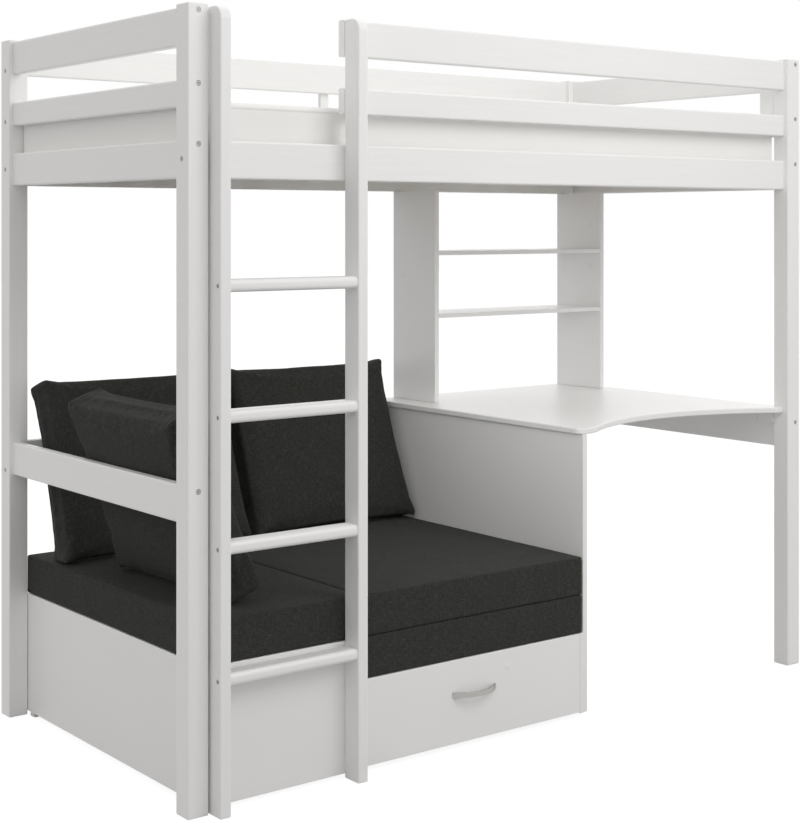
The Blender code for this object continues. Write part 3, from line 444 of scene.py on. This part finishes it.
def add_box(bm, size, middle):
    made = bmesh.ops.create_cube(bm, size=1)["verts"]
    bmesh.ops.scale(bm, verts=made, vec=size)
    bmesh.ops.translate(bm, verts=made, vec=middle)


def join_rings(bm, first, second):
    """Faces between two closed rings of as many points."""
    for i in range(len(first)):
        j = (i + 1) % len(first)
        bm.faces.new((first[i], first[j], second[j], second[i]))


def to_object(name, bm, material=None):
    mesh = bpy.data.meshes.new(name)
    bm.to_mesh(mesh)
    bm.free()
    obj = bpy.data.objects.new(name, mesh)
    bpy.context.collection.objects.link(obj)
    if material:
        mesh.materials.append(material)
    return obj


def bake_modifiers(obj):
    """Turn an object and its modifiers into a plain mesh."""
    depsgraph = bpy.context.evaluated_depsgraph_get()
    depsgraph.update()
    mesh = bpy.data.meshes.new_from_object(obj.evaluated_get(depsgraph))
    obj.modifiers.clear()
    old = obj.data
    obj.data = mesh
    bpy.data.meshes.remove(old)


def points_of(mesh):
    points = np.empty(len(mesh.vertices) * 3)
    mesh.vertices.foreach_get("co", points)
    return points.reshape(-1, 3)


def move_points(mesh, points):
    mesh.vertices.foreach_set("co", points.ravel())
    mesh.update()


def inflate(obj, voxel, pressure, cap, hold):
    """Fill a cover like a cushion: blow it up as cloth, held at its seam, and cap each move.

    No point moves further than cap, and what lies within hold of the seam stays where it is.
    """
    remesh = obj.modifiers.new("even", "REMESH")
    remesh.mode = "VOXEL"
    remesh.voxel_size = voxel
    bake_modifiers(obj)
    start = points_of(obj.data)
    seam = obj.vertex_groups.new(name="seam")
    spans = np.abs(start).max(axis=0)
    at_edge = (np.abs(start[:, 0]) > spans[0] - hold) | (np.abs(start[:, 1]) > spans[1] - hold)
    held = np.where(at_edge & (np.abs(start[:, 2]) < hold))[0]
    seam.add([int(i) for i in held], 1.0, "REPLACE")
    cloth = obj.modifiers.new("cover", "CLOTH")
    cloth.settings.quality = 5
    cloth.settings.mass = 0.25
    cloth.settings.tension_stiffness = 12
    cloth.settings.compression_stiffness = 8
    cloth.settings.bending_stiffness = 0.35
    cloth.settings.use_pressure = True
    cloth.settings.uniform_pressure_force = pressure
    cloth.settings.shrink_min = -0.03
    cloth.settings.vertex_group_mass = "seam"
    cloth.settings.effector_weights.gravity = 0
    cloth.point_cache.frame_start = 1
    cloth.point_cache.frame_end = CLOTH_STEPS
    scene = bpy.context.scene
    for step in range(1, CLOTH_STEPS + 1):
        scene.frame_set(step)
    depsgraph = bpy.context.evaluated_depsgraph_get()
    blown = points_of(obj.evaluated_get(depsgraph).data)
    obj.modifiers.clear()
    obj.vertex_groups.clear()
    scene.frame_set(1)
    move = blown - start
    length = np.linalg.norm(move, axis=1)
    move *= (cap * np.tanh(length / cap) / np.maximum(length, 1e-9))[:, None]
    move_points(obj.data, start + move)


def keep_inside(obj, size):
    """Press what stands out of the cushion's own box back into it."""
    points = points_of(obj.data)
    for axis in range(3):
        reach = np.abs(points[:, axis]).max()
        if reach > size[axis] / 2:
            points[:, axis] *= size[axis] / 2 / reach
    move_points(obj.data, points)


def slump(obj, size, outer):
    """Let a cushion's lower front edge sag onto the seat, and its outer end, -1 for the left and
    1 for the right, spread there."""
    points = points_of(obj.data)
    low = np.clip(0.5 - points[:, 1] / size[1], 0, 1) ** 2.5
    front = np.clip(0.5 + points[:, 2] / size[2], 0, 1)
    end = np.clip(0.5 + outer * points[:, 0] / size[0], 0, 1)
    points[:, 1] -= CUSHION_SAG * low * front
    points[:, 0] += outer * CUSHION_SPREAD * low * front * end
    move_points(obj.data, points)


def map_cloth(obj, seams=None):
    """UV maps in metres: the cloth as cut for each side, and the height over each of two seams."""
    mesh = obj.data
    points = points_of(mesh)
    loops = np.empty(len(mesh.loops), int)
    mesh.loops.foreach_get("vertex_index", loops)
    totals = np.empty(len(mesh.polygons), int)
    mesh.polygons.foreach_get("loop_total", totals)
    normals = np.empty(len(mesh.polygons) * 3)
    mesh.polygons.foreach_get("normal", normals)
    facing = np.repeat(np.abs(normals.reshape(-1, 3)).argmax(axis=1), totals)
    at = points[loops]
    across = np.where(facing == 0, at[:, 1], at[:, 0])
    up = np.where(facing == 2, at[:, 1], at[:, 2])
    cloth = mesh.uv_layers.new(name="cloth")
    cloth.data.foreach_set("uv", np.column_stack([across, up]).ravel())
    if seams:
        near = np.column_stack([at[:, 2] - seams[0], at[:, 2] - seams[1]])
        edges = mesh.uv_layers.new(name="seams")
        edges.data.foreach_set("uv", near.ravel())


def own_box(node, turn):
    """A node's middle and size in its own turned frame."""
    points = np.array([v.co for v in nodes[node].data.vertices]) @ np.array(turn.to_3x3())
    low, high = points.min(axis=0), points.max(axis=0)
    return turn @ Vector((low + high) / 2), Vector(high - low)


def settle(obj, node, turn, middle):
    """Put a finished soft piece where its node is and hand it to the frame."""
    obj.data.transform(Matrix.Translation(middle) @ turn)
    obj.data.shade_smooth()
    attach(obj, "bed")
    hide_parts(node)


def make_seat_layers(cover):
    """Foam blocks in close-fitting covers: crisp, lightly rounded edges and a low crown."""
    straight = Matrix.Identity(4)
    layers = (("seat_cushion", 3), ("lower_mattress", 0), ("upper_mattress", 3))
    for seed, (node, crown) in enumerate(layers):
        middle, size = own_box(node, straight)
        bm = padded_block(size, 6 * MM, 9 * MM, crown=(crown * MM, 0), draw=(1.5 * MM, 1.5 * MM),
                          plateau=12, creases=0.9 * MM, seed=seed + 1)
        obj = to_object(node + "_cover", bm, cover)
        map_cloth(obj)
        settle(obj, node, straight, middle)


def make_loose_cushions(cover):
    """Fibre-filled cushions: blown up from a slimmer cover, drawn in at the seam round the edge."""
    rise = math.radians(90) - CUSHION_LEAN
    cushions = (("back_cushion_left", 0, -1), ("back_cushion_right", 0, 1), ("side_cushion", 90, 0))
    for seed, (node, turn, outer) in enumerate(cushions):
        placed = Euler((rise, 0, math.radians(turn))).to_matrix().to_4x4()
        middle, size = own_box(node, placed)
        slim = (size[0] - 3 * MM, size[1] - 3 * MM, size[2] - 16 * MM)
        bm = padded_block(slim, 12 * MM, 14 * MM, crown=(7 * MM, 7 * MM), draw=(4 * MM, 4 * MM),
                          plateau=2, creases=2 * MM, seed=seed + 11)
        obj = to_object(node + "_cover", bm, cover)
        inflate(obj, voxel=6 * MM, pressure=4.0, cap=8 * MM, hold=6 * MM)
        finer = obj.modifiers.new("finer", "SUBSURF")
        finer.levels = 1
        finer.render_levels = 1
        bake_modifiers(obj)
        keep_inside(obj, size)
        if outer:
            slump(obj, size, outer)
        map_cloth(obj)
        settle(obj, node, placed, middle)


def make_mattress(ticking):
    """The upper bed's foam mattress in a white knitted cover with a seam near each edge."""
    straight = Matrix.Identity(4)
    middle, size = own_box("bed_mattress", straight)
    bm = padded_block(size, 13 * MM, 18 * MM, crown=(4 * MM, 0), draw=(0, 0),
                      creases=1.2 * MM, seed=31)
    obj = to_object("bed_mattress_cover", bm, ticking)
    map_cloth(obj, (size[2] / 2 - 18 * MM, -size[2] / 2 + 16 * MM))
    settle(obj, "bed_mattress", straight, middle)


# Repeated fittings

def turned_head(name, profile, socket=None):
    """A small round head about Z, facing up, from radius and height pairs in mm. A socket has six
    sides, and is given by its radius to a corner and its depth."""
    bm = bmesh.new()
    angles = [2 * math.pi * i / HEAD_STEPS for i in range(HEAD_STEPS)]
    rings = []
    for radius, height in [(radius * MM, height * MM) for radius, height in profile]:
        rings.append([
            bm.verts.new((radius * math.cos(angle), radius * math.sin(angle), height))
            for angle in angles
        ])
    for low, high in zip(rings, rings[1:]):
        join_rings(bm, low, high)
    bm.faces.new(list(reversed(rings[0])))
    if socket:
        socket_radius, socket_deep = socket[0] * MM, socket[1] * MM
        rim, floor = [], []
        for angle in angles:
            turn = angle % (math.pi / 3) - math.pi / 6
            reach = socket_radius * math.cos(math.pi / 6) / math.cos(turn)
            place = Vector((reach * math.cos(angle), reach * math.sin(angle), height))
            rim.append(bm.verts.new(place))
            floor.append(bm.verts.new(place - Vector((0, 0, socket_deep))))
        join_rings(bm, rings[-1], rim)
        join_rings(bm, rim, floor)
        bm.faces.new(floor)
    else:
        bm.faces.new(rings[-1])
    bmesh.ops.recalc_face_normals(bm, faces=bm.faces)
    return to_object(name, bm)


def fittings_tree():
    """Geometry Nodes: one head on each point, turned to the point's facing, made real."""
    tree = bpy.data.node_groups.new("heads_on_points", "GeometryNodeTree")
    tree.interface.new_socket("Points", in_out="INPUT", socket_type="NodeSocketGeometry")
    tree.interface.new_socket("Head", in_out="INPUT", socket_type="NodeSocketObject")
    tree.interface.new_socket("Size", in_out="INPUT", socket_type="NodeSocketFloat")
    tree.interface.new_socket("Finish", in_out="INPUT", socket_type="NodeSocketMaterial")
    tree.interface.new_socket("Heads", in_out="OUTPUT", socket_type="NodeSocketGeometry")
    given = add_node(tree, "NodeGroupInput")
    head = add_node(tree, "GeometryNodeObjectInfo", {"Object": given.outputs["Head"]})
    facing = add_node(tree, "GeometryNodeInputNamedAttribute", {"Name": "facing"},
                      data_type="FLOAT_VECTOR")
    turn = add_node(tree, "FunctionNodeAlignRotationToVector", {
        "Vector": facing.outputs["Attribute"],
    }, axis="Z")
    spin = add_node(tree, "FunctionNodeRandomValue", {"Seed": 3, 2: 0.0, 3: math.pi / 3},
                    data_type="FLOAT")
    rolled = add_node(tree, "FunctionNodeAxisAngleToRotation", {"Angle": spin.outputs[1]})
    both = add_node(tree, "FunctionNodeRotateRotation", {
        "Rotation": turn.outputs["Rotation"], "Rotate By": rolled.outputs["Rotation"],
    }, rotation_space="LOCAL")
    placed = add_node(tree, "GeometryNodeInstanceOnPoints", {
        "Points": given.outputs["Points"], "Instance": head.outputs["Geometry"],
        "Rotation": both.outputs["Rotation"], "Scale": given.outputs["Size"],
    })
    real = add_node(tree, "GeometryNodeRealizeInstances", {"Geometry": placed.outputs["Instances"]})
    finished = add_node(tree, "GeometryNodeSetMaterial", {
        "Geometry": real.outputs["Geometry"], "Material": given.outputs["Finish"],
    })
    add_node(tree, "NodeGroupOutput", {"Heads": finished.outputs["Geometry"]})
    return tree


def scatter(name, tree, head, sites, finish, body):
    """Make one mesh of all the heads that belong to one body."""
    mesh = bpy.data.meshes.new(name)
    mesh.from_pydata([site for site, _ in sites], [], [])
    facing = mesh.attributes.new("facing", "FLOAT_VECTOR", "POINT")
    facing.data.foreach_set("vector", np.array([way for _, way in sites], float).ravel())
    obj = bpy.data.objects.new(name, mesh)
    bpy.context.collection.objects.link(obj)
    maker = obj.modifiers.new("heads", "NODES")
    maker.node_group = tree
    inputs = {item.name: item.identifier for item in tree.interface.items_tree
              if item.in_out == "INPUT"}
    maker[inputs["Head"]] = head
    maker[inputs["Size"]] = 1.0
    maker[inputs["Finish"]] = finish
    bake_modifiers(obj)
    bpy.data.objects.remove(head)
    obj.data.shade_smooth()
    obj.data.set_sharp_from_angle(angle=math.radians(35))
    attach(obj, body)


def bolt_sites():
    """Where each bolt's head sits and which way it faces, from the post it is in and its rail."""
    sites = []
    for side in ("left", "right"):
        for face, way in (("front", -1), ("back", 1)):
            low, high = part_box(f"post_{face}_{side}")
            level = (low.y if way < 0 else high.y) - way * BOLT_SINK
            for rail in RAILS:
                rail_low, rail_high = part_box(f"{side}_{rail}")
                across = (rail_low.x + rail_high.x) / 2 + END_BOLT_SHIFT
                sites.append(((across, level, rail_high.z - BOLT_FROM_EDGE), (0, way, 0)))
    for side, way in (("left", -1), ("right", 1)):
        for face in ("front", "back"):
            low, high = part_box(f"post_{face}_{side}")
            level = (low.x if way < 0 else high.x) - way * BOLT_SINK
            for rail in RAILS:
                # The front has no middle rail, and its guards end at the ladder
                guard_ends = side == "left" and rail != "bed_rail"
                if face == "front" and (rail == "mid_rail" or guard_ends):
                    continue
                rail_low, rail_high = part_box(f"{face}_{rail}")
                up = rail_low.z + BOLT_FROM_EDGE
                if rail == "bed_rail":
                    up = (rail_low.z + rail_high.z) / 2
                sites.append(((level, (rail_low.y + rail_high.y) / 2, up), (way, 0, 0)))
    return sites


def screw_sites():
    sites = []
    for side, way in (("left", -1), ("right", 1)):
        low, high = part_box(f"ladder_stringer_{side}")
        level = (low.x if way < 0 else high.x) - way * SCREW_SINK
        for i in range(4):
            rung_low, rung_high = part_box(f"ladder_rung_{i + 1}")
            middle = (rung_low + rung_high) / 2
            sites.append(((level, middle.y - SCREW_FORWARD, middle.z), (way, 0, 0)))
    return sites


def cap_sites():
    """Push-in caps over the connecting fittings, on the faces where the photograph shows them."""
    sites = []
    for node, places in CAP_PLACES:
        low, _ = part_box(node)
        for across, up in places:
            sites.append(((low.x - CAP_OFFSET, low.y + across * MM, low.z + up * MM), (-1, 0, 0)))
    return sites


def make_fittings(steel, cap):
    tree = fittings_tree()
    bolt = turned_head("bolt_head", BOLT_HEAD, BOLT_SOCKET)
    scatter("frame_bolts", tree, bolt, bolt_sites(), steel, "bed")
    screw = turned_head("screw_head", SCREW_HEAD, SCREW_SOCKET)
    scatter("rung_screws", tree, screw, screw_sites(), steel, "bed")
    disc = turned_head("cap_head", CAP_DISC)
    scatter("panel_caps", tree, disc, cap_sites(), cap, "bed")
    low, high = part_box("pullout_front")
    across, up = FRONT_CAP_PLACE
    site = ((high.x - across * MM, low.y + CAP_OFFSET, low.z + up * MM), (0, -1, 0))
    disc = turned_head("front_cap_head", CAP_DISC)
    scatter("front_cap", tree, disc, [site], cap, "pullout")


def make_glides(plastic):
    """A plastic shoe over each of the feet under the upright panels."""
    bm = bmesh.new()
    for node in ("base_end_panel", "base_divider", "base_right_panel", "desk_side_panel"):
        low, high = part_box(node)
        size = Vector((high.x - low.x - GLIDE_THINNER, GLIDE_LONG, GLIDE_HIGH))
        for foot in (low.y + GLIDE_FROM_FRONT, high.y - GLIDE_FROM_BACK):
            middle = Vector(((low.x + high.x) / 2, foot + GLIDE_TO_MIDDLE, GLIDE_HIGH / 2))
            add_box(bm, size, middle)
    bmesh.ops.bevel(bm, geom=bm.edges[:], offset=1.6 * MM, segments=2, affect="EDGES")
    obj = to_object("panel_glides", bm, plastic)
    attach(obj, "bed")


def make_desk_packer(paint):
    """A short strip under the desktop, from the end of its own strip to the right front post."""
    strip_low, strip_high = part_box("desk_cleat")
    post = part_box("post_front_right")[1]
    low = Vector((strip_high.x - PACKER_THICK, post.y + PACKER_PLAY, strip_low.z))
    high = Vector((strip_high.x, strip_low.y - PACKER_PLAY, strip_high.z))
    bm = bmesh.new()
    add_box(bm, high - low, (low + high) / 2)
    bmesh.ops.bevel(bm, geom=bm.edges[:], offset=1.5 * MM, segments=2, affect="EDGES")
    obj = to_object("desk_packer", bm, paint)
    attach(obj, "bed")


def make_handle(nickel):
    """The bow handle: a flat band bent to an arc, with softened edges."""
    low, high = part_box("pullout_handle")
    half = (high.x - low.x) / 2
    reach = high.y - low.y
    radius = (half ** 2 + reach ** 2) / (2 * reach)
    centre = Vector(((low.x + high.x) / 2, low.y + radius, 0))
    within = radius - BAND_THICK
    bm = bmesh.new()
    rings = []
    for i in range(BAND_STEPS + 1):
        share = 2 * i / BAND_STEPS - 1
        outer = math.asin(half / radius) * share
        inner = math.acos((centre.y - high.y) / within) * share
        ring = []
        for turn, away, up in ((outer, radius, low.z), (outer, radius, high.z),
                               (inner, within, high.z), (inner, within, low.z)):
            place = (centre.x + away * math.sin(turn), centre.y - away * math.cos(turn), up)
            ring.append(bm.verts.new(place))
        rings.append(ring)
    for before, after in zip(rings, rings[1:]):
        join_rings(bm, before, after)
    bm.faces.new(rings[0])
    bm.faces.new(rings[-1])
    bmesh.ops.recalc_face_normals(bm, faces=bm.faces)
    obj = to_object("bow_handle", bm, nickel)
    soft = obj.modifiers.new("soft_edges", "BEVEL")
    soft.width = 0.9 * MM
    soft.segments = 3
    soft.limit_method = "ANGLE"
    soft.angle_limit = math.radians(50)
    bake_modifiers(obj)
    obj.data.shade_smooth()
    obj.data.set_sharp_from_angle(angle=math.radians(40))
    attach(obj, "pullout")
    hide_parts("pullout_handle")


# Finishes for the pieces that keep their shape from the frame

def finish_frame_pieces(finishes):
    """Painted wood has its grain along the piece, and what isn't named here is white board."""
    along = {
        "X": ("front_", "back_top", "back_low", "back_bed", "back_mid", "ladder_rung"),
        "Y": ("left_", "right_top", "right_low", "right_bed", "right_mid"),
        "Z": ("post_", "ladder_stringer", "back_guard_batten", "right_guard_batten"),
    }
    fixed = {
        "slatted_bed_base": "slats", "base_slat_frame": "pine", "pullout_slat_frame": "pine",
        "desk_cleat": "pine_Y", "pullout_handle": "nickel",
        "castor_fork_left": "zinc", "castor_fork_right": "zinc",
        "castor_wheel_left": "plastic", "castor_wheel_right": "plastic",
    }
    for name, obj in nodes.items():
        key = fixed.get(name, "board")
        for axis, starts in along.items():
            if name.startswith(starts):
                key = "pine_" + axis
        obj.data.materials.clear()
        obj.data.materials.append(finishes[key])


# Stage, light and camera

def make_stage():
    """A white floor that runs into the white room; only a part of its white takes shadow."""
    bm = bmesh.new()
    bmesh.ops.create_grid(bm, x_segments=1, y_segments=1, size=FLOOR_SIZE / 2)
    material = bpy.data.materials.new("white_studio_floor")
    material.use_nodes = True
    tree = material.node_tree
    tree.nodes.clear()
    seen = seen_straight(tree)
    shade = add_node(tree, "ShaderNodeBsdfDiffuse", {"Color": (FLOOR_SHADE,) * 3 + (1,)})
    glow = add_node(tree, "ShaderNodeEmission", {
        "Color": (1, 1, 1, 1), "Strength": 1 - FLOOR_SHADE * FLOOR_LEFT,
    })
    both = add_node(tree, "ShaderNodeAddShader", {0: shade.outputs[0], 1: glow.outputs[0]})
    plain = add_node(tree, "ShaderNodeBsdfDiffuse", {"Color": (FLOOR_BOUNCE,) * 3 + (1,)})
    mixed = add_node(tree, "ShaderNodeMixShader", {
        0: seen, 1: plain.outputs[0], 2: both.outputs[0],
    })
    add_node(tree, "ShaderNodeOutputMaterial", {"Surface": mixed.outputs[0]})
    floor = to_object("studio_floor", bm, material)
    floor.location.z = -FLOOR_DROP


def make_light():
    """The room looks white and lights the bed a little less than that; the lamps do the rest."""
    world = bpy.data.worlds.new("white_room")
    bpy.context.scene.world = world
    world.use_nodes = True
    tree = world.node_tree
    tree.nodes.clear()
    seen = seen_straight(tree)
    bright = ranged(tree, seen, 0, 1, ROOM_LIGHT, 1)
    tint = blend_colours(tree, seen, ROOM_TINT, "FFFFFF")
    glow = add_node(tree, "ShaderNodeBackground", {"Color": tint, "Strength": bright})
    add_node(tree, "ShaderNodeOutputWorld", {"Surface": glow.outputs[0]})
    for name, kind, place, aim, strength, size in LAMPS:
        lamp = bpy.data.lights.new(name, kind)
        lamp.energy = strength
        obj = bpy.data.objects.new(name, lamp)
        obj.visible_camera = False
        if kind == "SUN":
            lamp.angle = size
        else:
            lamp.size = size
            obj.location = place
        obj.rotation_euler = (Vector(place) - Vector(aim)).to_track_quat("Z", "Y").to_euler()
        bpy.context.collection.objects.link(obj)


def make_camera():
    data = bpy.data.cameras.new("camera")
    data.lens = CAMERA_LENS
    data.sensor_width = 36
    data.shift_y = CAMERA_SHIFT_Y
    camera = bpy.data.objects.new("camera", data)
    camera.location = CAMERA_PLACE
    camera.rotation_euler = Vector(CAMERA_LOOK).to_track_quat("-Z", "Y").to_euler()
    bpy.context.collection.objects.link(camera)
    bpy.context.scene.camera = camera
    bpy.context.scene.view_settings.view_transform = "Standard"


def main():
    make_camera()
    make_light()
    make_stage()
    ledger_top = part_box("front_bed_rail")[0].z + LEDGER_HIGH
    finishes = {
        "pine_X": lacquered_pine("X"), "pine_Y": lacquered_pine("Y"), "pine_Z": lacquered_pine("Z"),
        "board": melamine_board(), "pine": planed_pine(), "nickel": brushed_nickel(),
        "slats": planed_pine("slats_on_painted_ledgers", ledger_top),
        "zinc": zinc_plate(),
        "plastic": moulded_plastic("grey_moulded_polypropylene", "55575A", 0.5),
    }
    finish_frame_pieces(finishes)
    cover = woven_cover()
    make_seat_layers(cover)
    make_loose_cushions(cover)
    make_mattress(knitted_ticking())
    make_desk_packer(finishes["pine_Y"])
    make_handle(finishes["nickel"])
    make_fittings(plated_bolt_steel(), moulded_plastic("white_moulded_cap", "F1F1EF", 0.42))
    make_glides(moulded_plastic("pale_moulded_glides", "D9D8D4", 0.5))


main()
